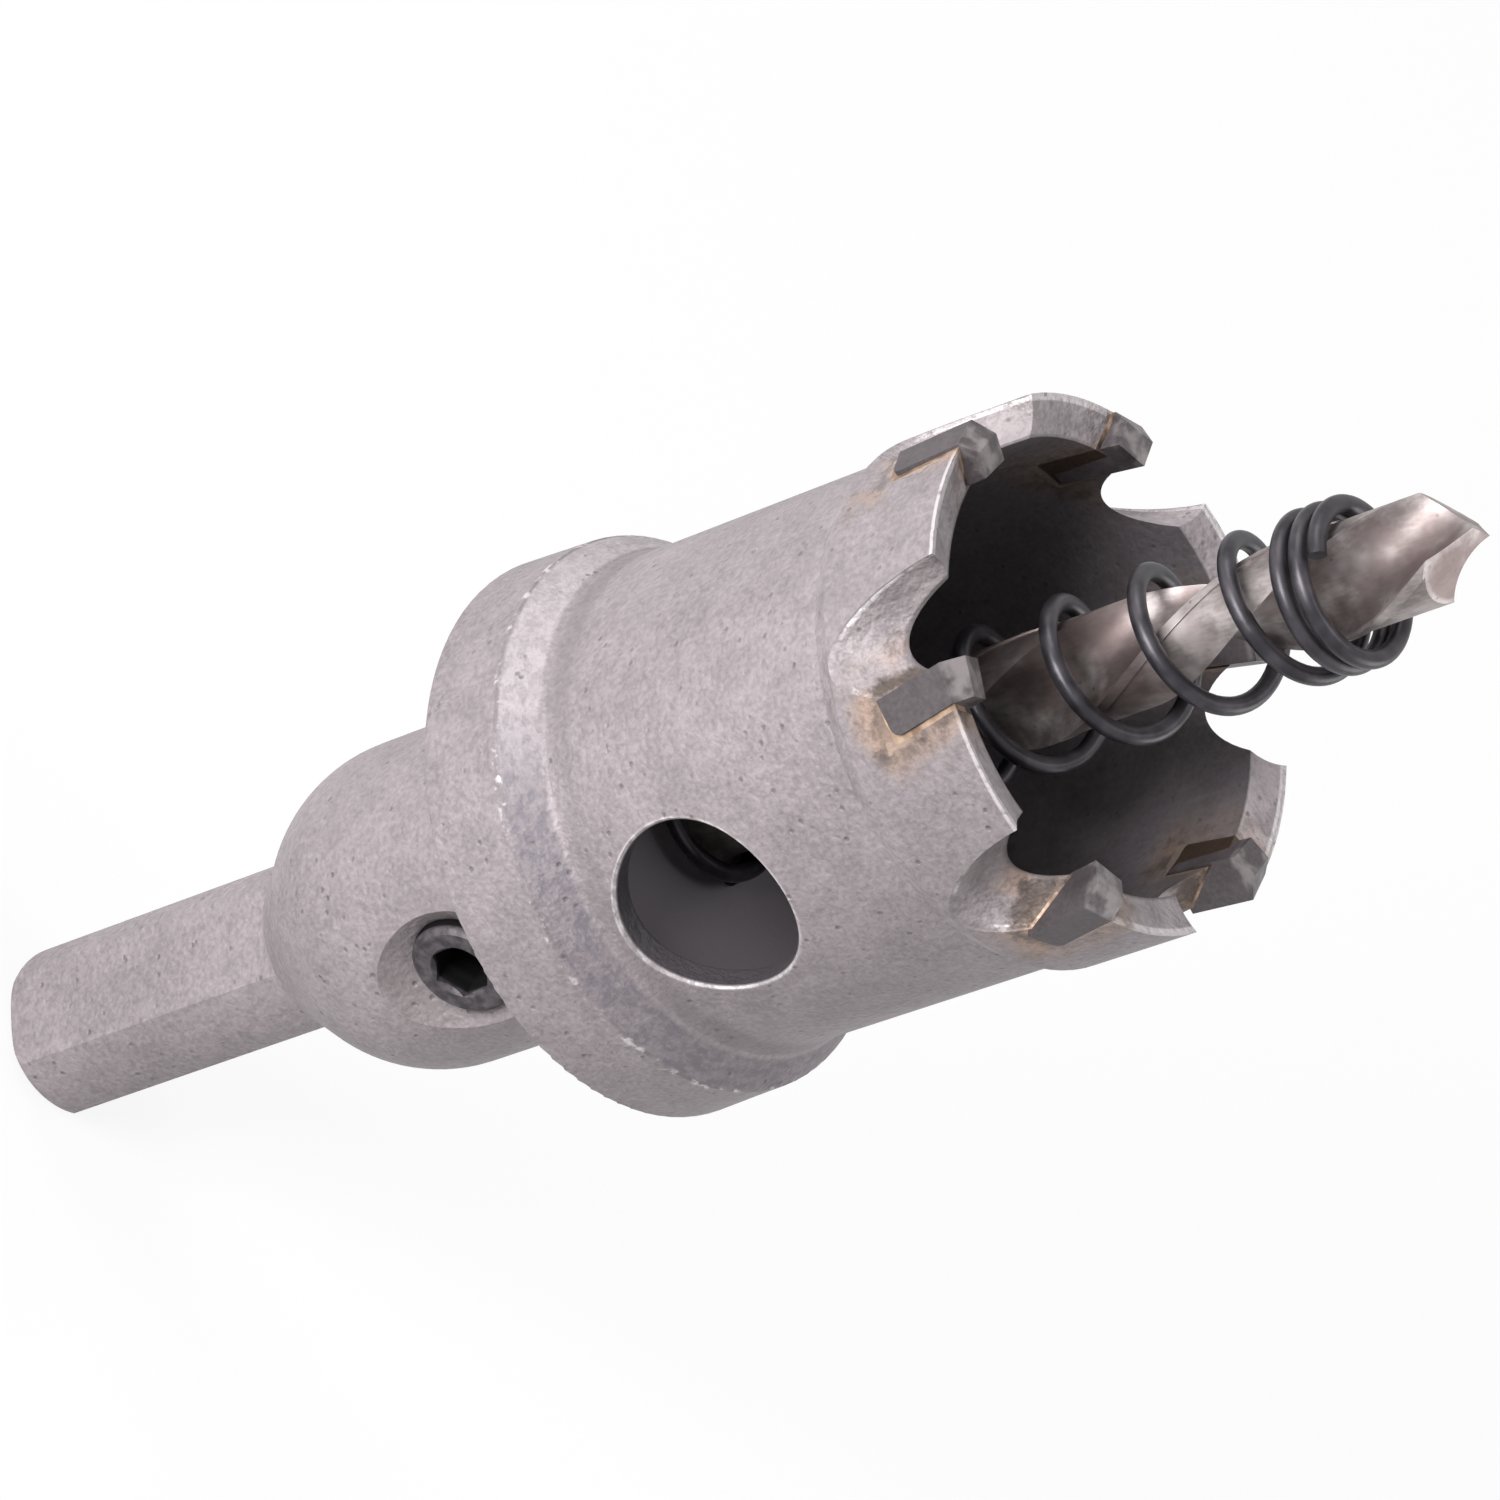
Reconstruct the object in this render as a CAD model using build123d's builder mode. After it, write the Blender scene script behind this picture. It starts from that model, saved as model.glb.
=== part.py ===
from math import cos, degrees, radians, sin, tan
import os

from build123d import *

os.makedirs("parts", exist_ok=True)

# The tool stands along +Z on the end of its shank, whose middle is at the origin.
# Lengths are in millimetres, angles in degrees about +Z, measured from +X toward +Y.

# Shank
shank_r = 5.0
shank_edge = 1.0
flat_count = 3
flat_depth = 0.8
flat_angle = 0.0

# Hub
cone_start_z = 21.3
cone_slope = 38.0
cone_root = 0.8
hub_r = 9.35
hub_shoulder = 10.0
hub_end_z = 44.0
hub_root = 0.6

# Flange
flange_back_r = 15.8
flange_front_r = 15.6
flange_front_z = 49.0
flange_edge = 0.2
bevel_len = 2.3
sweep_len = 1.9
sweep_rise = 0.22

# Cup
cup_r = 13.93
wall_t = 1.53
floor_z = 49.4
floor_corner = 2.4
rim_z = 78.2
rim_len = 7.2
rim_step_len = 1.1
rim_rise = 0.64
rim_dish = 0.75

# Side window
window_r = 5.15
window_z = 57.45
window_angle = 285.5
window_edge = 0.2

# Teeth
tooth_count = 6
corner_angle = 50.05
tooth_skew = 10.0
gullet_r = 3.3
gullet_tilt = 30.0
gullet_set_back = 0.7
gullet_cutter_len = 30.0
tip_offset = 22.3
tip_t = 2.1
tip_seat = 4.45
tip_proud = 0.33
tip_inset = 0.15
tip_peak = 0.8
tip_peak_in = 1.2
tip_heel = 0.45
tip_relief = 0.38
tip_outer_relief = 0.35
tip_inner_relief = 0.08
tip_corner = 0.5
braze_t = 0.28
braze_lead_t = 0.1
braze_corner = 0.25

# Pilot drill
drill_r = 3.0
drill_fit = 0.05
drill_bore_z = 25.0
drill_start_z = 28.5
drill_chamfer = 0.3
drill_apex_z = 101.6
flute_start_z = 57.0
flute_runout = 7.0
flute_twist = 9.6
lip_drop = 1.8
lip_angle = 272.0
land_span = 69.0
margin_span = 11.0
margin_h = 0.12
web_r = 0.55
point_fall = 0.6
point_clearance = 0.85

# Set screw
screw_r = 2.95
screw_fit = 0.05
screw_len = 6.0
screw_z = 36.45
screw_angle = 290.3
screw_sink_r = 5.3
screw_sink_angle = 120.0
screw_end_chamfer = 0.6
screw_face_chamfer = 0.35
socket_af = 3.0
socket_depth = 2.8
socket_sink = 0.25
drill_flat_depth = 0.1
drill_flat_len = 6.5

# Ejector spring
wire_r = 0.5
coil_r = 4.0
coil_start_angle = 354.0
coil_lean = 0.4
coil_lean_angle = 354.0
closed_pitch = 1.2
open_pitch = 5.8
coil_turns = 10.67
rear_closed_turns = 0.95
rear_easing_turns = 0.53
front_closed_turns = 2.25
front_easing_turns = 0.67
points_per_turn = 12

# Sizes that follow from these
cone_end_z = cone_start_z + (hub_r - shank_r) / tan(radians(cone_slope))
bevel_end_z = flange_front_z + bevel_len
bevel_end_r = cup_r + sweep_rise
bore_r = cup_r - wall_t
rim_r = cup_r + rim_rise
rim_start_z = rim_z - rim_len
tip_outer_r = rim_r + tip_proud
tip_inner_r = bore_r - tip_inset
tip_peak_r = tip_outer_r - tip_peak_in
screw_tip_r = drill_r - drill_flat_depth
lip_z = drill_apex_z - lip_drop
fluted_len = drill_apex_z - flute_start_z


def around(angle, radius=1.0, z=0.0):
    return Vector(radius * cos(radians(angle)), radius * sin(radians(angle)), z)


def polar(radius, angle):
    return (radius * cos(radians(angle)), radius * sin(radians(angle)))


def outward(z, angle, radius=0.0):
    return Plane(origin=around(angle, radius, z), x_dir=(0, 0, 1), z_dir=around(angle))


def forward(angle):
    return Vector(0, 0, cos(radians(tooth_skew))) - around(angle + 90, sin(radians(tooth_skew)))


def tip_plane(tooth):
    angle = corner_angle + tip_offset + 360 / tooth_count * tooth
    across = Vector(0, 0, sin(radians(tooth_skew))) + around(angle + 90, cos(radians(tooth_skew)))
    return Plane(origin=(0, 0, rim_z), x_dir=forward(angle), z_dir=across)


def gullet_plane(tooth):
    angle = corner_angle + degrees(gullet_r / rim_r) + 360 / tooth_count * tooth
    axis = forward(angle) * cos(radians(gullet_tilt)) - around(angle, sin(radians(gullet_tilt)))
    return Plane(origin=around(angle, rim_r, rim_z - gullet_set_back), z_dir=axis)


def gullet_cutter(tooth):
    with BuildPart() as cutter:
        with BuildSketch(gullet_plane(tooth)):
            Circle(gullet_r)
        extrude(amount=gullet_cutter_len / 2, both=True)
    return cutter.part


def seat_cutter(tooth):
    seat = tip_plane(tooth)
    seat_len = tip_seat + braze_t
    seat_t = tip_t + braze_t
    with BuildPart() as cutter:
        with BuildSketch(seat.offset(-braze_lead_t)):
            with Locations((-seat_len, tip_peak_r)):
                Rectangle(2 * seat_len, 2 * seat_len, align=(Align.MIN, Align.CENTER))
        extrude(amount=braze_lead_t + seat_t)
        corner = seat.from_local_coords((-seat_len, rim_r, seat_t))
        fillet(cutter.edges().sort_by_distance(corner)[0], braze_corner)
    return cutter.part


def carbide_tip(tooth):
    seat = tip_plane(tooth)
    with BuildPart() as block:
        for depth, front, outer, inner in (
            (0, 0, tip_outer_r, tip_inner_r),
            (tip_t, -tip_relief, tip_outer_r - tip_outer_relief, tip_inner_r + tip_inner_relief),
        ):
            with BuildSketch(seat.offset(depth)):
                Polygon(
                    (-tip_seat, inner),
                    (-tip_seat, outer),
                    (front, outer),
                    (front + tip_peak, tip_peak_r),
                    (front + tip_heel, inner),
                    align=None,
                )
        loft(ruled=True)
        corner = seat.from_local_coords((-tip_seat, tip_peak_r, tip_t))
        fillet(block.edges().sort_by_distance(corner)[0], tip_corner)
    return block.part


# Saw body: shank, hub, flange and cup turned from one bar
with BuildPart() as saw_body:
    with BuildSketch(Plane.XZ) as turned:
        with BuildLine():
            Polyline(
                (bevel_end_r, bevel_end_z),
                (flange_front_r, flange_front_z),
                (flange_back_r, hub_end_z),
                (hub_r, hub_end_z),
                (hub_r, cone_end_z),
                (shank_r, cone_start_z),
                (shank_r, 0),
                (0, 0),
                (0, floor_z),
                (bore_r, floor_z),
                (bore_r, rim_z - rim_dish),
                (rim_r, rim_z),
                (rim_r, rim_start_z),
                (cup_r, rim_start_z - rim_step_len),
                (cup_r, bevel_end_z + sweep_len),
            )
            TangentArc((cup_r, bevel_end_z + sweep_len), (bevel_end_r, bevel_end_z), tangent=(0, -1))
        make_face()
        rounded = (
            (shank_r, 0, shank_edge),
            (shank_r, cone_start_z, cone_root),
            (hub_r, cone_end_z, hub_shoulder),
            (hub_r, hub_end_z, hub_root),
            (flange_back_r, hub_end_z, flange_edge),
            (flange_front_r, flange_front_z, flange_edge),
            (bore_r, floor_z, floor_corner),
        )
        for r, z, round_r in rounded:
            fillet(turned.vertices().sort_by_distance(Vector(r, z, 0))[0], round_r)
    revolve(axis=Axis.Z)

    # Three flats for the chuck jaws
    for flat in range(flat_count):
        angle = flat_angle + 360 / flat_count * flat
        with Locations(outward(0, angle, shank_r - flat_depth)):
            Box(
                cone_start_z,
                2 * shank_r,
                shank_r,
                align=(Align.MIN, Align.CENTER, Align.MIN),
                mode=Mode.SUBTRACT,
            )

    # Blind bore for the pilot drill
    with BuildSketch(Plane.XY.offset(drill_bore_z)):
        Circle(drill_r + drill_fit)
    extrude(amount=floor_z - drill_bore_z, mode=Mode.SUBTRACT)

    # Threaded hole for the set screw
    with Locations(outward(screw_z, screw_angle, hub_r)):
        CounterSinkHole(screw_r + screw_fit, screw_sink_r, hub_r, screw_sink_angle)

    # Side window
    with BuildSketch(outward(window_z, window_angle)):
        Circle(window_r)
    extrude(amount=2 * cup_r, mode=Mode.SUBTRACT)
    window_outside = around(window_angle, cup_r, window_z - window_r)
    chamfer(saw_body.edges().sort_by_distance(window_outside)[0], window_edge)

    # Gullets and tip seats milled in the rim
    for tooth in range(tooth_count):
        add(gullet_cutter(tooth), mode=Mode.SUBTRACT)
        add(seat_cutter(tooth), mode=Mode.SUBTRACT)

saw_body.part.label = "saw_body"
export_step(saw_body.part, "parts/saw_body.step")

# Ring of rim material that the braze is dressed flush with
with BuildPart() as rim_ring:
    with BuildSketch(Plane.XZ):
        with BuildLine():
            Polyline(
                (bore_r, rim_start_z),
                (bore_r, rim_z - rim_dish),
                (rim_r, rim_z),
                (rim_r, rim_start_z),
                close=True,
            )
        make_face()
    revolve(axis=Axis.Z)

# Carbide tips, each with its seam of braze
for tooth in range(tooth_count):
    with BuildPart() as tip:
        add(carbide_tip(tooth))
    tip.part.label = f"carbide_tip_{tooth + 1}"
    export_step(tip.part, f"parts/carbide_tip_{tooth + 1}.step")

    with BuildPart() as seam:
        add(rim_ring.part)
        add(seat_cutter(tooth), mode=Mode.INTERSECT)
        add(tip.part, mode=Mode.SUBTRACT)
        add(gullet_cutter(tooth), mode=Mode.SUBTRACT)
    seam.part.label = f"braze_seam_{tooth + 1}"
    export_step(seam.part, f"parts/braze_seam_{tooth + 1}.step")

# Pilot drill: plain round shank, two helical flutes and a ground point
start_angle = lip_angle + flute_twist * (lip_z - flute_start_z)

with BuildSketch(Plane.XY.offset(flute_start_z)) as fluted:
    with BuildLine():
        for lip in (start_angle, start_angle + 180):
            CenterArc((0, 0), drill_r, lip, margin_span)
            Line(polar(drill_r, lip + margin_span), polar(drill_r - margin_h, lip + margin_span))
            CenterArc((0, 0), drill_r - margin_h, lip + margin_span, land_span - margin_span)
            ThreePointArc(
                polar(drill_r - margin_h, lip + land_span),
                polar(web_r, lip + (land_span + 180) / 2),
                polar(drill_r, lip + 180),
            )
    make_face()

with BuildPart() as pilot_drill:
    add(
        Solid.extrude_linear_with_rotation(
            fluted.sketch.face(),
            (0, 0, flute_start_z),
            (0, 0, fluted_len),
            -flute_twist * fluted_len,
        )
    )
    with BuildSketch(Plane.XY.offset(drill_start_z)):
        Circle(drill_r)
    extrude(amount=flute_start_z - drill_start_z)
    with Locations(Plane.XY.offset(flute_start_z)):
        Cone(drill_r, web_r, flute_runout, align=(Align.CENTER, Align.CENTER, Align.MIN))
    chamfer(pilot_drill.edges().sort_by(Axis.Z)[0], drill_chamfer)

    # Flat under the set screw
    with Locations(outward(screw_z, screw_angle, drill_r - drill_flat_depth)):
        Box(
            drill_flat_len,
            2 * drill_r,
            drill_r,
            align=(Align.CENTER, Align.CENTER, Align.MIN),
            mode=Mode.SUBTRACT,
        )

    # Two flanks of the point
    for lip in (lip_angle, lip_angle + 180):
        flank = Vector(0, 0, 1) + around(lip, point_fall) + around(lip + 90, point_clearance)
        with Locations(Plane(origin=(0, 0, drill_apex_z), z_dir=flank)):
            Box(
                4 * drill_r,
                4 * drill_r,
                4 * drill_r,
                align=(Align.CENTER, Align.CENTER, Align.MIN),
                mode=Mode.SUBTRACT,
            )

pilot_drill.part.label = "pilot_drill"
export_step(pilot_drill.part, "parts/pilot_drill.step")

# Set screw with a hexagon socket
with BuildPart() as set_screw:
    with BuildSketch(outward(screw_z, screw_angle, screw_tip_r)):
        Circle(screw_r)
    extrude(amount=screw_len)
    rims = set_screw.edges().filter_by(GeomType.CIRCLE).sort_by_distance(Vector(0, 0, screw_z))
    chamfer(rims[0], screw_end_chamfer)
    rims = set_screw.edges().filter_by(GeomType.CIRCLE).sort_by_distance(Vector(0, 0, screw_z))
    chamfer(rims[-1], screw_face_chamfer)
    with BuildSketch(outward(screw_z, screw_angle, screw_tip_r + screw_len)) as socket:
        RegularPolygon(socket_af / 2, 6, major_radius=False)
    extrude(amount=-socket_depth, mode=Mode.SUBTRACT)
    with BuildSketch(outward(screw_z, screw_angle, screw_tip_r + screw_len)):
        Circle(socket_af / 2 / cos(radians(30)))
    extrude(amount=-socket_sink, taper=45, mode=Mode.SUBTRACT)

set_screw.part.label = "set_screw"
export_step(set_screw.part, "parts/set_screw.step")


# Ejector spring: open coils with closed coils at both ends
def eased(turn, start, easing):
    if turn <= start:
        return 0
    if turn < start + easing:
        return (turn - start) ** 2 / (2 * easing)
    return turn - start - easing / 2


def coil_point(turn):
    closing = coil_turns - front_closed_turns - front_easing_turns
    opened = eased(turn, rear_closed_turns, rear_easing_turns) - eased(turn, closing, front_easing_turns)
    rise = closed_pitch * turn + (open_pitch - closed_pitch) * opened
    lean = around(coil_lean_angle, coil_lean * rise / (open_pitch * coil_turns))
    return lean + around(coil_start_angle + 360 * turn, coil_r, floor_z + wire_r + rise)


steps = round(coil_turns * points_per_turn)

with BuildPart() as ejector_spring:
    with BuildLine() as coil:
        Spline(*[coil_point(coil_turns * step / steps) for step in range(steps + 1)])
    with BuildSketch(Plane(origin=coil.line @ 0, z_dir=coil.line % 0)):
        Circle(wire_r)
    sweep(is_frenet=True)

ejector_spring.part.label = "ejector_spring"
export_step(ejector_spring.part, "parts/ejector_spring.step")
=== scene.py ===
# %% [markdown]
# A hole saw is a steel cup with hard teeth on its rim. The measured solids come from the CAD
# frame, and this file gives them the finishes of the real tool: blasted steel, ground carbide,
# brass-coloured braze, a bright twist drill and a blackened spring. The frame is loaded first, and
# its box is kept so that the end of the file can show that nothing grew.

# %% Load the frame
import math

import bpy
import bmesh
from mathutils import Matrix, Vector


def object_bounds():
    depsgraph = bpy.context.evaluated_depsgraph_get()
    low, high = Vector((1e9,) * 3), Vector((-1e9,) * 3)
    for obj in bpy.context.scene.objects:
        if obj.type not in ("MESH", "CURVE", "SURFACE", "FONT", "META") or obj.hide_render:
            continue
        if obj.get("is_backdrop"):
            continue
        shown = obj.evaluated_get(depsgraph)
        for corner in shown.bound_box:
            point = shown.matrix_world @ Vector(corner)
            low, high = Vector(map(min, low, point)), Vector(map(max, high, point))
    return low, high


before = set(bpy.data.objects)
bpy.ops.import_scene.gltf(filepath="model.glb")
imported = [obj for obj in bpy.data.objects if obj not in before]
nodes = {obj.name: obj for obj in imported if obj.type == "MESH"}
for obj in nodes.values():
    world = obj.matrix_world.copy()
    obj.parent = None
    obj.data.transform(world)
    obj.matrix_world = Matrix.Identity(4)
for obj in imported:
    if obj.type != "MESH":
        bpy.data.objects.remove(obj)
cad_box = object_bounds()
MM = 0.001
print("nodes:", len(nodes), "box in mm:", [round((b - a) / MM, 1) for a, b in zip(*cad_box)])

# %% [markdown]
# The picture was taken with a long lens, looking down into the open end of the cup. A long lens
# keeps the rim and the flange nearly parallel. The tool stands here and lies in the picture, so
# the camera is turned on its side. It could be placed by eye, but a turned part has many round
# edges whose place in the picture can be worked out, so the camera was fitted to those. It is
# written down as a point and two directions.

# %% Camera
look = Vector((0.0832, 0.7925, -0.6042)).normalized()
upward = Vector((-0.9145, 0.3016, 0.2696))
right = look.cross(upward).normalized()
up = right.cross(look)
eye = Vector((-0.0346, -0.3096, 0.2903))
sensor_width, focal_length, nearest = 36, 175.04, 10 * MM

lens = bpy.data.cameras.new("camera")
lens.sensor_width = sensor_width
lens.lens = focal_length
lens.clip_start = nearest
camera = bpy.data.objects.new("camera", lens)
bpy.context.scene.collection.objects.link(camera)
axes = Matrix((right, up, -look)).transposed().to_4x4()
camera.matrix_world = Matrix.Translation(eye) @ axes
bpy.context.scene.camera = camera
bpy.context.scene.view_settings.view_transform = "Standard"
print("camera distance in mm:", round(eye.length / MM))


# %% [markdown]
# Every finish is worked out with sums on values that change over the surface, such as the distance
# from the tool's axis. The nodes for them could be drawn by hand in the editor. Written as Python,
# the sums stay readable. One small class wraps a node's socket, so that + - * and / add the Math
# node they stand for.

# %% Sums on values that change over a surface
class Amount:
    """A value that changes over a surface."""

    def __init__(self, graph, socket):
        self.graph, self.socket = graph, socket

    def __add__(self, other):
        return self.graph.sum("ADD", self, other)

    def __sub__(self, other):
        return self.graph.sum("SUBTRACT", self, other)

    def __mul__(self, other):
        return self.graph.sum("MULTIPLY", self, other)

    def __truediv__(self, other):
        return self.graph.sum("DIVIDE", self, other)

    def __radd__(self, other):
        return self.graph.sum("ADD", other, self)

    def __rsub__(self, other):
        return self.graph.sum("SUBTRACT", other, self)

    def __rmul__(self, other):
        return self.graph.sum("MULTIPLY", other, self)

    def __rtruediv__(self, other):
        return self.graph.sum("DIVIDE", other, self)

    def __abs__(self):
        return self.graph.sum("ABSOLUTE", self)

    def at_least(self, other):
        return self.graph.sum("MAXIMUM", self, other)

    def root(self):
        return self.graph.sum("SQRT", self)

    def rise(self, start, end):
        """0 before start, 1 after end, and smooth between them."""
        sockets = {"Value": self, "From Min": start, "From Max": end}
        return self.graph.node("MapRange", {"interpolation_type": "SMOOTHSTEP"}, sockets)

    def band(self, start, end, soft):
        """1 between start and end, fading out over soft on each side."""
        return self.rise(start - soft, start + soft) * (1 - self.rise(end - soft, end + soft))


# %% [markdown]
# The nodes themselves come from one method, which sets a node's own settings first, because these
# decide which sockets it has, and then gives each socket its number or its link. A material and
# the world both hold such a graph of nodes.

# %% Nodes
class Graph:
    """The nodes of a material or of the world."""

    def __init__(self, owner):
        owner.use_nodes = True
        self.tree = owner.node_tree

    def feed(self, node, name, value):
        if isinstance(value, Amount):
            self.tree.links.new(value.socket, node.inputs[name])
        else:
            node.inputs[name].default_value = value

    def node(self, kind, settings, sockets, output=0):
        made = self.tree.nodes.new("ShaderNode" + kind)
        for name, value in settings.items():
            setattr(made, name, value)
        for name, value in sockets.items():
            self.feed(made, name, value)
        return Amount(self, made.outputs[output])

    def sum(self, operation, *values):
        return self.node("Math", {"operation": operation}, dict(enumerate(values)))


# %% [markdown]
# A finish is a material that looks at where a point is on the tool. A painted picture could be
# wrapped round the tool instead, but it would have seams and be coarse from close by. Object
# coordinates are used, because every solid keeps the tool's own origin, so a pattern stays in
# place on it from any side. They come in metres and are turned into millimetres, in which a maker
# thinks.

# %% Finishes
class Finish(Graph):
    """A material whose colour, roughness and relief follow from where a point is, in mm."""

    def __init__(self, name, **fixed):
        self.material = bpy.data.materials.new(name)
        super().__init__(self.material)
        self.shader = self.tree.nodes["Principled BSDF"]
        self.paint(**fixed)
        metres = self.node("TexCoord", {}, {}, "Object")
        self.place = self.node("VectorMath", {"operation": "SCALE"}, {0: metres, "Scale": 1 / MM})
        split = self.node("SeparateXYZ", {}, {0: self.place}).socket.node
        self.x, self.y, self.z = (Amount(self, socket) for socket in split.outputs)

    def from_axis(self):
        return (self.x * self.x + self.y * self.y).root()

    def noise(self, size, detail=2.0, roughness=0.5, stretch=None):
        """Soft random patches of about that size, drawn out along an axis if asked."""
        where = self.place
        if stretch:
            where = self.node("Mapping", {}, {"Vector": where, "Scale": stretch})
        sockets = {"Vector": where, "Scale": 1 / size, "Detail": detail, "Roughness": roughness}
        return self.node("TexNoise", {}, sockets)

    def dots(self, size, start, end):
        """Small round dots, one in each random cell of that size."""
        cells = self.node("TexVoronoi", {}, {"Vector": self.place, "Scale": 1 / size})
        return 1 - cells.rise(start, end)

    def mix(self, share, first, second):
        """A colour between two colours. A Mix node keeps its colours in sockets 6 and 7."""
        first, second = (c if isinstance(c, Amount) else (*c, 1) for c in (first, second))
        return self.node("Mix", {"data_type": "RGBA"}, {0: share, 6: first, 7: second}, 2)

    def layers(self, colour, *coats):
        """Lay coats over a colour, each with the share by which it covers."""
        for share, coat in coats:
            colour = self.mix(share, colour, coat)
        return colour

    def paint(self, **values):
        """Feed the shader's sockets."""
        for name, value in values.items():
            self.feed(self.shader, name.replace("_", " "), value)

    def relief(self, height, depth):
        """Raise the surface by depth for each whole step of height."""
        sockets = {"Height": height, "Strength": 1.0, "Distance": depth * MM}
        self.paint(Normal=self.node("Bump", {}, sockets))

    def on(self, *pieces):
        for piece in pieces:
            piece.data.materials.clear()
            piece.data.materials.append(self.material)
        print(self.material.name, "on", len(pieces), "pieces,", len(self.tree.nodes), "nodes")


# %% [markdown]
# Most marks on the tool follow its turned shape, so the sizes of that shape are needed here. They
# are the ones that the solids were made with.

# %% Sizes of the turned shape, in mm
hub_r = 9.35
flange_r, flange_front = 15.6, 49.0
bevel_end = 51.3
bore_r, cup_r, cup_floor = 12.4, 13.93, 49.4
rim_r, rim_start, rim_front = 14.57, 71.0, 78.2
drill_r = 3.0
tooth_count = 6
print("cup wall", round(cup_r - bore_r, 2), "mm, rim", round(rim_front - rim_start, 1), "mm long")

# %% [markdown]
# The body was turned from one bar, then blasted with beads. Blasting leaves a fine matt grain with
# small dark pits, over soft blotches that show from further away. One noise with much detail looks
# like fog, so each of these gets a noise of its own size. The steel is made only a quarter
# metallic, because a blasted face scatters light nearly as paint does. Two more patterns are for
# later: scuffs, and the ragged edge of burns.

# %% Patterns of the blasted steel
steel = Finish("blasted_steel", Metallic=0.25)
x, y, z, r = steel.x, steel.y, steel.z, steel.from_axis()
grain = steel.noise(0.3, detail=3.0, roughness=0.55)
dents = steel.noise(0.6)
blotch = steel.noise(2.6, detail=4.0, roughness=0.6)
cloud = steel.noise(9)
pits = steel.dots(size=1.0, start=0.06, end=0.2)
pits = pits * steel.noise(1.7, detail=1.0).rise(0.4, 0.55)
scuff = steel.noise(0.5, detail=3.0, roughness=0.7, stretch=(0.5, 0.5, 1))
ragged = steel.noise(1.3, detail=5.0, roughness=0.7)
print("patterns so far use", len(steel.tree.nodes), "nodes")

# %% [markdown]
# Two round holes run out through the wall: the side window and the hole of the set screw. Their
# drilled walls are painted dark, as shade inside the holes, the sink round the screw is a little
# darker than the hub, and the sharp edge of the window is rubbed bright. The faces there could be
# given a material of their own, but then the marks would end in hard lines. The distance from a
# hole's middle line gives soft ones.
# The back of the tool, where that line comes out again, is masked off.

# %% Holes
window_r, window_z, window_turn = 5.15, 57.45, math.radians(285.5)
screw_hole_r, screw_z, screw_turn = 3.0, 36.45, math.radians(290.3)
sink_r = 5.3


def from_hole(turn, height):
    """Distance from the middle line of a hole that points to that side of the tool."""
    across, along = y * math.cos(turn) - x * math.sin(turn), z - height
    return (across * across + along * along).root()


front_half = 1 - (y / r).rise(0.1, 0.3)
from_window = from_hole(window_turn, window_z)
from_screw_hole = from_hole(screw_turn, screw_z)
# The walls inside the holes, painted dark as shade.
shaded_window_wall = 1 - from_window.rise(window_r + 0.01, window_r + 0.09)
shaded_window_wall = shaded_window_wall * front_half * r.rise(bore_r - 0.1, bore_r + 0.1)
window_edge = from_window.band(window_r + 0.05, window_r + 0.27, 0.06)
window_edge = window_edge * front_half * r.rise(cup_r - 0.53, cup_r - 0.33)
shaded_screw_hole_wall = 1 - from_screw_hole.rise(screw_hole_r + 0.02, screw_hole_r + 0.12)
shaded_screw_hole_wall = shaded_screw_hole_wall * front_half * (1 - r.rise(hub_r + 0.25, hub_r + 0.45))
screw_sink = 1 - from_screw_hole.rise(sink_r - 0.3, sink_r)
screw_sink = screw_sink * front_half * (1 - r.rise(hub_r - 0.05, hub_r + 0.05))
print("holes at", window_z, "and", screw_z, "mm up")

# %% [markdown]
# Each tooth carries a tip in a seat that leans by 10 degrees. Six masks could be made, one to a
# tooth, but the teeth are alike, so one sum serves them all. It takes the angle from the nearest
# tooth, turns it into a length along the rim and adds the lean. From that length and the height
# comes the distance from a box round the seat.

# %% Distance from the nearest seat
tooth_pitch = 2 * math.pi / tooth_count
gullet_turn, tip_turn, half_tip_turn, seat_lean = 50.05, 22.3, 4.5, math.radians(10)
seat_middle = rim_front - 2.35

first_tooth = math.radians(gullet_turn + tip_turn + half_tip_turn)
turns = (steel.sum("ARCTAN2", y, x) - first_tooth) / tooth_pitch + 0.5
off_tooth = (turns - steel.sum("FLOOR", turns) - 0.5) * tooth_pitch
arc = off_tooth * r + (z - rim_front) * math.tan(seat_lean)


def from_seat(forward, half_width, half_length):
    """Distance from a box round the seat, moved forward in the cutting direction."""
    across = (abs(arc + forward) - half_width).at_least(0.0)
    along = (abs(z - seat_middle) - half_length).at_least(0.0)
    return (across * across + along * along).root()


print("teeth every", round(math.degrees(tooth_pitch)), "degrees")

# %% [markdown]
# Brazing heats the rim round each tip. Close to the tip the flux leaves soot, further out the
# steel is stained brown, and a little filler runs out over the steel as a thin film. Inside the
# cup the burn lies beside the tip. A mark could simply fade with the distance, but real burns have
# ragged edges, so noise is added to the distance before it is cut off.

# %% Marks of the brazing
uneven = ragged - 0.5
to_tip = from_seat(forward=0.5, half_width=1.4, half_length=2.4)
to_seat = from_seat(forward=-0.12, half_width=1.24, half_length=2.4)
to_back = from_seat(forward=-1.2, half_width=1.6, half_length=2.6)
heat = 1 - (to_tip + uneven * 5.5).rise(0.5, 2.8)
heat = heat * steel.noise(3.5, detail=1.0).rise(0.35, 0.55)
soot = 1 - (to_tip + uneven * 3).rise(0.0, 0.9)
film = 1 - (to_seat + uneven * 1.5).rise(0.02, 0.16)
film = film * steel.noise(4, detail=1.0).rise(0.42, 0.58)
burn = 1 - (to_back + uneven * 7).rise(0.6, 2.6)
print("with holes and burns", len(steel.tree.nodes), "nodes")
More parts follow.
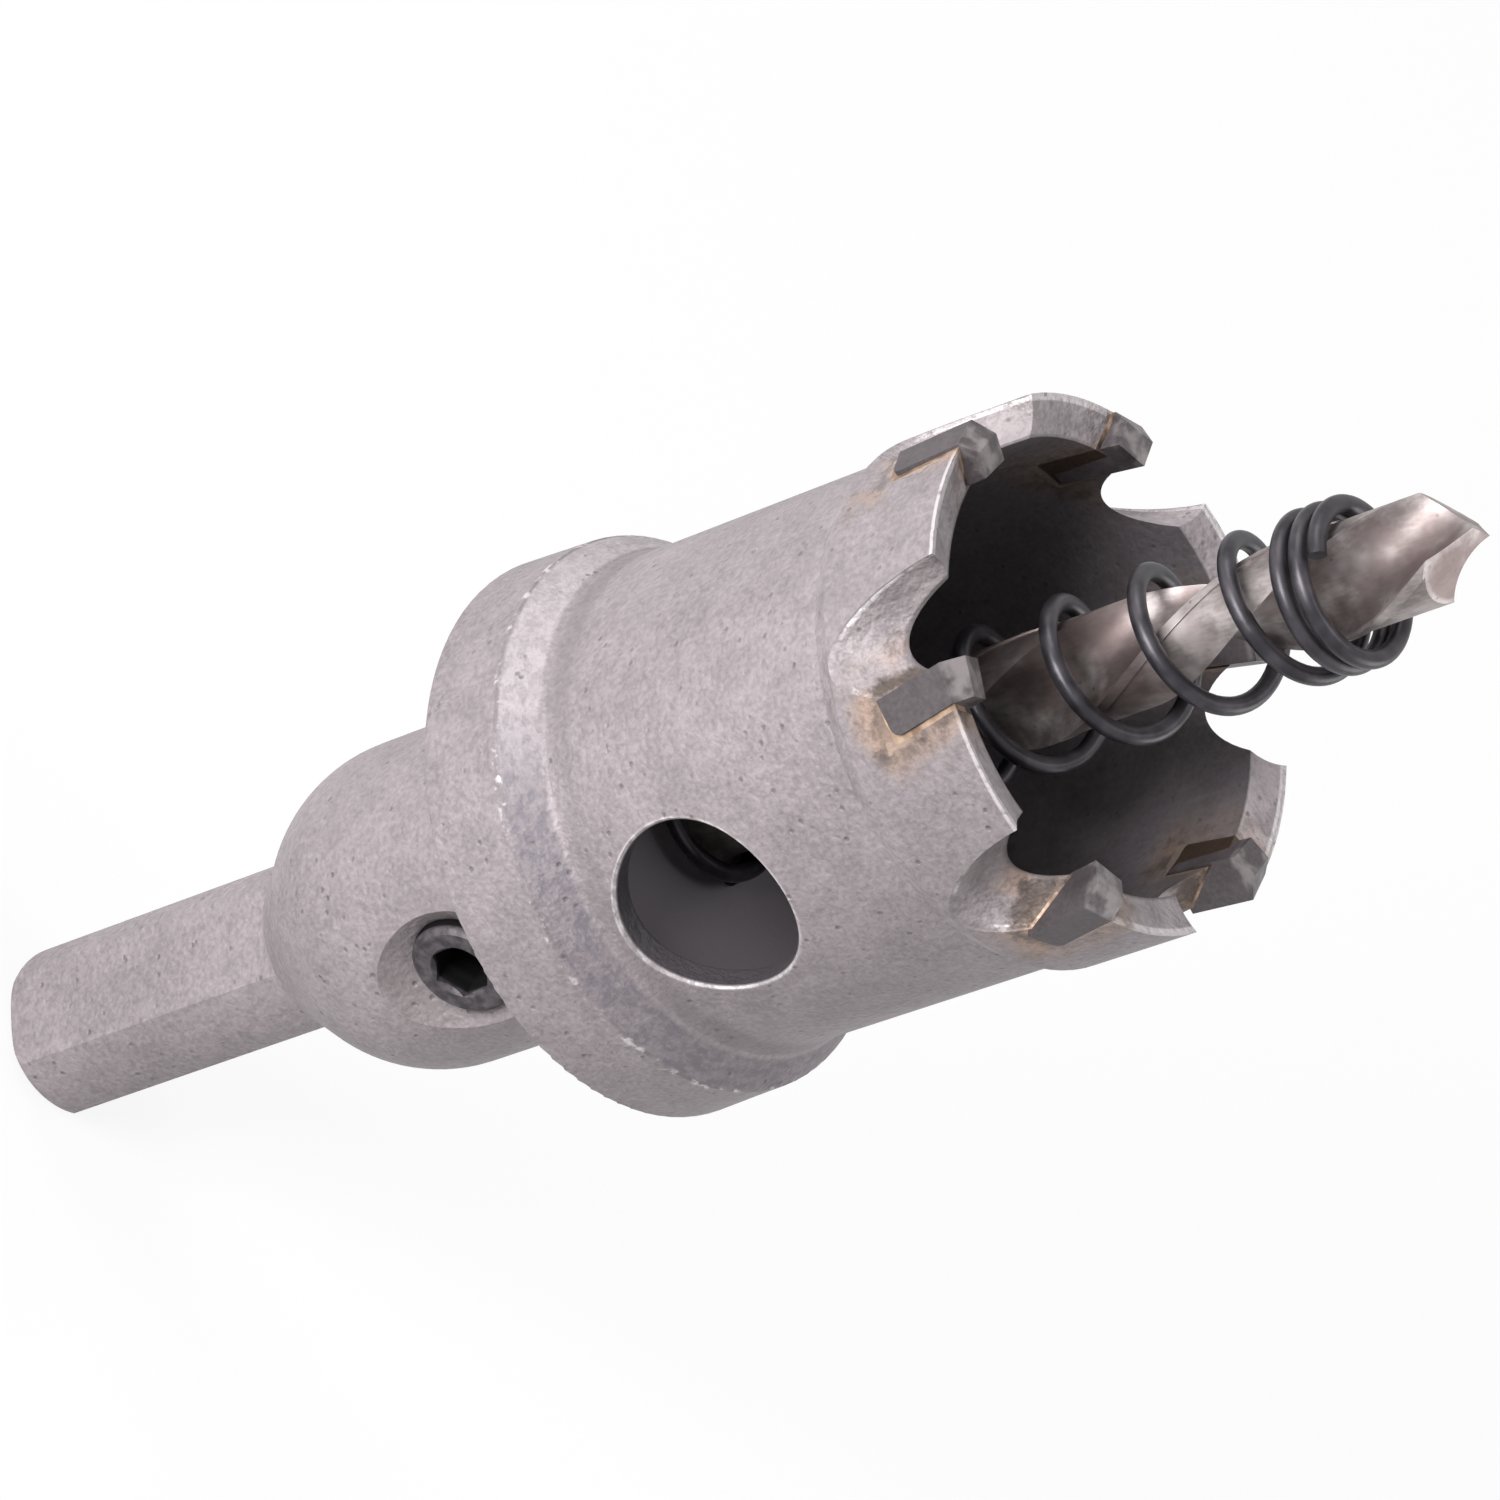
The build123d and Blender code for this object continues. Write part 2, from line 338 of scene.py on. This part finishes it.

# %% [markdown]
# Turning and handling leave marks of their own. The inside of the cup was out of the blast's
# reach, and the gullets were milled clean. The bevel in front of the flange is scuffed, and it has
# painted light on the side that the lamps light, and painted shade on the other side. The hollow
# at the foot of the cup gets a painted shade, and the flange's front corner a thin darker line.
# Each zone is a range of heights times a range of distances from the axis.

# %% Zones of the body
inside = (1 - r.rise(bore_r - 0.1, bore_r + 0.15)) * z.rise(cup_floor - 0.4, cup_floor - 0.1)
gullet = r.rise(bore_r + 0.05, bore_r + 0.2) * (1 - r.rise(rim_r - 0.22, rim_r - 0.05))
gullet = gullet * z.rise(rim_start - 2, rim_start + 0.5)
bevel = z.band(flange_front + 0.1, bevel_end - 0.2, 0.15) * r.rise(cup_r + 0.27, cup_r + 0.47)
# Painted shade in the hollow at the foot of the cup.
hollow_shade = z.band(bevel_end + 0.2, bevel_end + 1.5, 0.5) * r.rise(cup_r - 0.13, cup_r - 0.03)
flange_corner = r.rise(flange_r - 0.4, flange_r - 0.2)
# A thin darker line along the flange's front corner.
dark_corner_line = z.band(flange_front - 0.05, flange_front + 0.15, 0.06) * flange_corner
# The side of the bevel that the lamps light gets painted light, and the other side painted shade.
bevel_lit_side = (0 - x / r).rise(0.3, 0.75)

# %% [markdown]
# Sharp edges are the first to be worn to bare metal: the flange's front corner in flecks, the
# edges of the gullets, and the rim's front edge. Their light colour is that wear and also a
# painted highlight, where an edge catches the light. A node that finds edges by itself would light
# up all of them alike, so these are placed by their height and distance from the axis, and noise
# breaks them up, because an even bright line looks drawn.

# %% Edges worn to bare metal, with painted highlights
flecks = z.band(flange_front - 0.25, flange_front + 0.15, 0.1) * flange_corner
flecks = flecks * dents.rise(0.55, 0.68)
gullet_edge = r.band(rim_r - 0.29, rim_r - 0.06, 0.04) * z.rise(rim_start + 1, rim_start + 1.4)
gullet_edge = gullet_edge * scuff.rise(0.36, 0.5)
rim_edge = z.rise(rim_front - 0.27, rim_front - 0.18) * r.rise(rim_r - 0.42, rim_r - 0.32)
rim_edge = rim_edge * dents.rise(0.25, 0.45)
wear_and_edge_highlights = flecks.at_least(gullet_edge).at_least(rim_edge)
print("with zones and edges", len(steel.tree.nodes), "nodes")

# %% [markdown]
# The outside is a warm grey that follows the patterns. Each zone and mark is then laid over it
# with a share of its own, in the order in which it came on the real tool: machining, wear, pits,
# and last the burns. One ramp couldn't do this, because the marks overlap.

# %% Colour of the outside
fine = 0.2 * (grain - 0.5) + 0.1 * (dents - 0.5)
coarse = 0.14 * (blotch - 0.5) + 0.1 * (cloud - 0.5)
tone = (0.38 + fine + coarse).rise(0.18, 0.6)
blasted = steel.mix(tone, (0.12, 0.104, 0.11), (0.36, 0.316, 0.33))
# Painted light and painted shade on the two sides of the bevel, mixed with its scuffs.
bevel_scuffs_and_light = bevel * bevel_lit_side * (0.3 + 0.3 * scuff.rise(0.4, 0.6))
bevel_scuffs_and_shade = bevel * (1 - bevel_lit_side) * (0.3 + 0.5 * (1 - scuff.rise(0.38, 0.56)))
stain = steel.mix(ragged.rise(0.35, 0.6), (0.13, 0.092, 0.075), (0.36, 0.24, 0.17))
outside = steel.layers(
    blasted,
    (bevel_scuffs_and_light, (0.45, 0.41, 0.425)),
    (bevel_scuffs_and_shade, (0.13, 0.117, 0.138)),
    (hollow_shade * 0.4, (0.12, 0.105, 0.11)),
    (gullet * blotch.rise(0.4, 0.6) * 0.35, (0.4, 0.36, 0.365)),
    (dark_corner_line * blotch.rise(0.4, 0.55) * 0.5, (0.09, 0.08, 0.085)),
    # Worn edges, lightened also as painted highlights.
    (wear_and_edge_highlights * 0.65, (0.6, 0.56, 0.57)),
    (window_edge * (0.25 + 0.6 * scuff.rise(0.4, 0.6)), (0.5, 0.46, 0.47)),
    (screw_sink * 0.35, (0.15, 0.127, 0.127)),
    (pits * 0.6, (0.085, 0.072, 0.07)),
    (heat * 0.75, stain),
    (soot * (0.5 + 0.35 * gullet), (0.06, 0.043, 0.035)),
    (film * (0.65 - 0.5 * gullet), (0.42, 0.32, 0.26)),
)
print("with the outside", len(steel.tree.nodes), "nodes")

# %% [markdown]
# The inside of the cup is dark steel, and it is painted darker still as shade. Towards the rim it
# gets more painted shade, which evens out the light that falls in there, and its floor is painted
# lighter, as painted light. Beside the seats it is burnt brown. The drilled walls of the two holes
# are painted nearly as dark, as shade.

# %% Colour of the inside
# Dark steel, darkened further as painted shade inside the cup.
bare = steel.mix(blotch.rise(0.3, 0.7), (0.075, 0.067, 0.079), (0.1, 0.09, 0.105))
burnt = steel.mix(ragged.rise(0.3, 0.7), (0.025, 0.018, 0.015), (0.085, 0.058, 0.042))
# Painted shade towards the rim, which evens out the light falling in there.
rim_end_shade = z.rise(cup_floor + 6.6, rim_front - 1.2)
# Painted light on the floor of the cup.
floor_painted_light = 1 - z.rise(cup_floor + 0.6, cup_floor + 3.1)
dark = steel.layers(
    bare,
    (rim_end_shade * 0.85, (0.03, 0.027, 0.032)),
    (floor_painted_light, (0.24, 0.217, 0.24)),
    (burn * 0.8, burnt),
)
body = steel.layers(
    outside,
    (inside, dark),
    (shaded_window_wall.at_least(shaded_screw_hole_wall), (0.07, 0.062, 0.07)),
)
print("with the inside", len(steel.tree.nodes), "nodes")

# %% [markdown]
# The scuffed bevel is rougher than the blasted steel, and a worn edge is smoother. The relief of
# the real grain is about a twentieth of a millimetre deep. Cutting it into the mesh would take
# millions of faces, and a bump that only bends the light looks the same at that depth. It is
# nearly gone inside the cup.

# %% Roughness and relief of the body
rough = 0.55 + 0.1 * (blotch - 0.5) + 0.12 * bevel + 0.08 * gullet - 0.12 * wear_and_edge_highlights + 0.2 * inside
height = grain + 1.3 * dents + 1.5 * blotch - 1.2 * pits
height = height + 0.4 * bevel * scuff + 2 * gullet * dents
steel.paint(Base_Color=body, Roughness=rough)
steel.relief(height * (1 - 0.7 * inside), depth=0.05)
steel.on(nodes["saw_body"])

# %% [markdown]
# Carbide is pressed and sintered, then ground. Its long sides stay dull and dark, and the grinding
# wheel leaves the front end lighter, with fine scratches. Plain grey would look like plastic, so a
# fine speck and a wider smear share the tone between them, and a noise drawn out along the tool
# gives the scratches.

# %% Finish of the carbide tips
carbide = Finish("carbide", Metallic=0.4)
speck = carbide.noise(0.25, detail=3.0)
smear = carbide.noise(1.3, detail=3.0)
scratch = carbide.noise(0.12, detail=1.0, stretch=(1, 1, 0.12))
ground = carbide.z.rise(rim_front - 0.2, rim_front + 0.2)
sintered = (0.5 * speck + 0.5 * smear).rise(0.3, 0.7)
hard_grey = carbide.layers(
    carbide.mix(sintered, (0.056, 0.047, 0.051), (0.095, 0.081, 0.087)),
    (ground * smear.rise(0.4, 0.65) * 0.6, (0.3, 0.27, 0.265)),
)
carbide.paint(Base_Color=hard_grey, Roughness=0.5 - 0.1 * ground + 0.1 * (smear - 0.5))
carbide.relief(0.6 * scratch + 0.4 * speck, depth=0.015)
carbide.on(*[nodes[f"carbide_tip_{n}"] for n in range(1, tooth_count + 1)])

# %% [markdown]
# The braze is the thin line of brass-coloured filler that holds each tip in its seat. It ran when
# it was hot, so its surface is slightly lumpy, and its colour goes from gold to a burnt brown. The
# brown could follow the distance from the tip, but the line is so thin that random patches look
# the same. Inside the cup it is nearly black.

# %% Finish of the braze
braze = Finish("braze", Metallic=0.45)
lump = braze.noise(0.5, detail=3.0)
scorch = braze.noise(1.4).rise(0.46, 0.6)
darker_inside_cup = 1 - braze.from_axis().rise(bore_r + 0.3, rim_r - 0.97)
gold = braze.layers(
    braze.mix(lump.rise(0.3, 0.7), (0.29, 0.19, 0.125), (0.46, 0.33, 0.245)),
    (scorch * 0.75, (0.15, 0.095, 0.06)),
    (darker_inside_cup, (0.05, 0.032, 0.022)),
)
braze.paint(Base_Color=gold, Roughness=0.42 + 0.2 * (lump - 0.5))
braze.relief(lump, depth=0.08)
braze.on(*[nodes[f"braze_seam_{n}"] for n in range(1, tooth_count + 1)])

# %% [markdown]
# The pilot drill is ground bright all over. Its lands are a little duller than its flutes, and
# both carry brown patches where it was tempered, and small dark spots. Near the point the lands
# are cleaner. Metal shows its finish by what it reflects, so the same haze changes both its colour
# and its roughness, where a change of colour alone would look like dirt on a mirror.

# %% Finish of the pilot drill
drill = Finish("drill_steel", Metallic=0.9)
drag = drill.noise(0.18, stretch=(1, 1, 0.2))
haze = drill.noise(2.4, detail=4.0, roughness=0.6)
land = drill.from_axis().rise(drill_r - 0.38, drill_r - 0.2)
near_point = drill.z.rise(80, 90)
brown = drill.noise(5, detail=3.0, roughness=0.6).rise(0.36, 0.56)
brown = brown * (1 - 0.75 * land * near_point)
spots = drill.dots(size=0.9, start=0.06, end=0.16) * haze.rise(0.45, 0.6)
shine = (0.2 * drag + 0.8 * haze).rise(0.34, 0.66)
bright = drill.layers(
    drill.mix(shine, (0.22, 0.197, 0.192), (0.49, 0.446, 0.44)),
    (brown * 0.75, (0.13, 0.092, 0.088)),
    (spots * 0.5, (0.08, 0.06, 0.055)),
)
drill.paint(Base_Color=bright, Roughness=0.4 + 0.14 * haze + 0.04 * land)
drill.relief(drag, depth=0.003)
drill.on(nodes["pilot_drill"])

# %% [markdown]
# The spring is blackened wire. Black paint would be even, but black oxide is greyer where the wire
# was rubbed, so a soft noise moves its tone and its roughness together. A very shallow fine relief
# keeps its shine from looking like glass.

# %% Finish of the spring
black = Finish("black_oxide", Metallic=0.5)
rub = black.noise(1.5)
oxide = black.mix(rub.rise(0.3, 0.75), (0.02, 0.018, 0.022), (0.055, 0.049, 0.058))
black.paint(Base_Color=oxide, Roughness=0.3 + 0.16 * rub)
black.relief(black.noise(0.15), depth=0.004)
black.on(nodes["ejector_spring"])

# %% [markdown]
# The set screw is black as well, with a rubbed face and a socket that is painted near black, as
# painted shade, since little light reaches into it. How far a point is along the screw tells the
# socket from the face. The thread is a plain cylinder in the solid. A cut helix would cost many
# faces for the little of it that shows, so a wave along the screw stands for it, one turn to each
# millimetre.

# %% Finish of the set screw
screw = Finish("socket_black", Specular_IOR_Level=0.1)
screw_face, thread_pitch = 8.9, 1.0
key_rub = screw.noise(0.6, detail=4.0)
outward = screw.x * math.cos(screw_turn) + screw.y * math.sin(screw_turn)
# The socket, painted near black as painted shade.
shaded_socket = 1 - outward.rise(screw_face - 0.5, screw_face - 0.2)
face = screw.layers(
    screw.mix(key_rub.rise(0.35, 0.7), (0.05, 0.045, 0.05), (0.11, 0.098, 0.106)),
    (shaded_socket, (0.006, 0.0055, 0.006)),
)
thread = screw.sum("SINE", outward * (2 * math.pi / thread_pitch))
screw.paint(
    Base_Color=face, Roughness=0.4 + 0.2 * key_rub + 0.3 * shaded_socket, Metallic=0.5 - 0.5 * shaded_socket
)
screw.relief(key_rub + thread, depth=0.02)
screw.on(nodes["set_screw"])

# %% [markdown]
# The tool stands on the end of its shank, because lying down it would roll, and the camera is
# turned so that it seems to lie. The floor is a large white sheet just under the shank, which
# fills the view. A square plane would do, but a filled bmesh circle has no corner that could show
# from another side.

# %% Floor
floor_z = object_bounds()[0][2] - 0.0002
floor_r = 3.0
sheet = bmesh.new()
bmesh.ops.create_circle(sheet, cap_ends=True, segments=96, radius=floor_r)
bmesh.ops.translate(sheet, verts=sheet.verts, vec=(0, 0, floor_z))
mesh = bpy.data.meshes.new("floor")
sheet.to_mesh(mesh)
sheet.free()
floor = bpy.data.objects.new("floor", mesh)
bpy.context.scene.collection.objects.link(floor)
floor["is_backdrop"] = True
print("floor", 2 * floor_r, "m across at", round(floor_z / MM, 2), "mm")

# %% [markdown]
# White paper that is only lit comes out grey in a picture, and more light would wash out the tool.
# So what the camera sees of the floor is mostly plain white, and the rest of it is lit and keeps
# the tool's shadow. The light that the floor throws back on the tool stays that of real paper.

# %% Finish of the floor
plain_white = 0.86
paper = Finish("paper", Metallic=0.0, Roughness=0.9)
fibre = paper.noise(3, detail=3.0).rise(0.0, 1.0)
paper.paint(Base_Color=paper.mix(fibre, (0.86, 0.86, 0.86), (0.88, 0.88, 0.88)))
lit = Amount(paper, paper.shader.outputs["BSDF"])
white = paper.node("Emission", {}, {"Color": (1, 1, 1, 1), "Strength": 1.0})
seen = paper.node("LightPath", {}, {}, "Is Camera Ray") * plain_white
both = paper.node("MixShader", {}, {0: seen, 1: lit, 2: white})
paper.feed(paper.tree.nodes["Material Output"], "Surface", both)
paper.on(floor)

# %% [markdown]
# The room round the tool is white. The camera and the metal's reflections see it at full strength,
# as they would see a white tent, and as light on the tool it is only a soft third of that.

# %% World
room_light = 0.31
world = bpy.data.worlds.new("world")
bpy.context.scene.world = world
room = Graph(world)
camera_ray, glossy_ray, clear_ray = (
    room.node("LightPath", {}, {}, f"Is {kind} Ray")
    for kind in ("Camera", "Glossy", "Transmission")
)
mirrored = camera_ray.at_least(glossy_ray).at_least(clear_ray)
background = room.tree.nodes["Background"]
room.feed(background, "Color", (1, 1, 1, 1))
room.feed(background, "Strength", room_light + (1 - room_light) * mirrored)
print("room light", room_light)


# %% [markdown]
# Four large round softboxes light the tool. The key stands on the camera's side and gives the
# steel its soft bright band. The fill and the back light keep the far sides from going black, and
# a weak one above reaches down into the cup. One strong lamp could light it too, but its hard
# shadow would hide the rim.

# %% Lights
def softbox(name, place, power, size=0.4):
    light = bpy.data.lights.new(name, "AREA")
    light.shape = "DISK"
    light.size = size
    light.energy = power
    lamp = bpy.data.objects.new(name, light)
    towards_tool = (-Vector(place)).to_track_quat("-Z", "Y").to_matrix().to_4x4()
    lamp.matrix_world = Matrix.Translation(place) @ towards_tool
    bpy.context.scene.collection.objects.link(lamp)
    print(name, "power", power, "W")


softbox("key", (-0.4, -0.63, 0.26), power=8.8)
softbox("fill", (-0.65, 0.0, 0.35), power=1.6)
softbox("back", (0.6, 0.35, 0.3), power=1.6)
softbox("top", (0.1, 0.15, 0.8), power=1.3)

# %% [markdown]
# The last cell compares the box of the dressed tool with the box of the bare solids, and hands the
# scene over.

# %% Check and finish
new_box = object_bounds()
grown = [round(abs(a - b) / MM, 3) for p, q in zip(cad_box, new_box) for a, b in zip(p, q)]
print("grew by", grown, "mm")
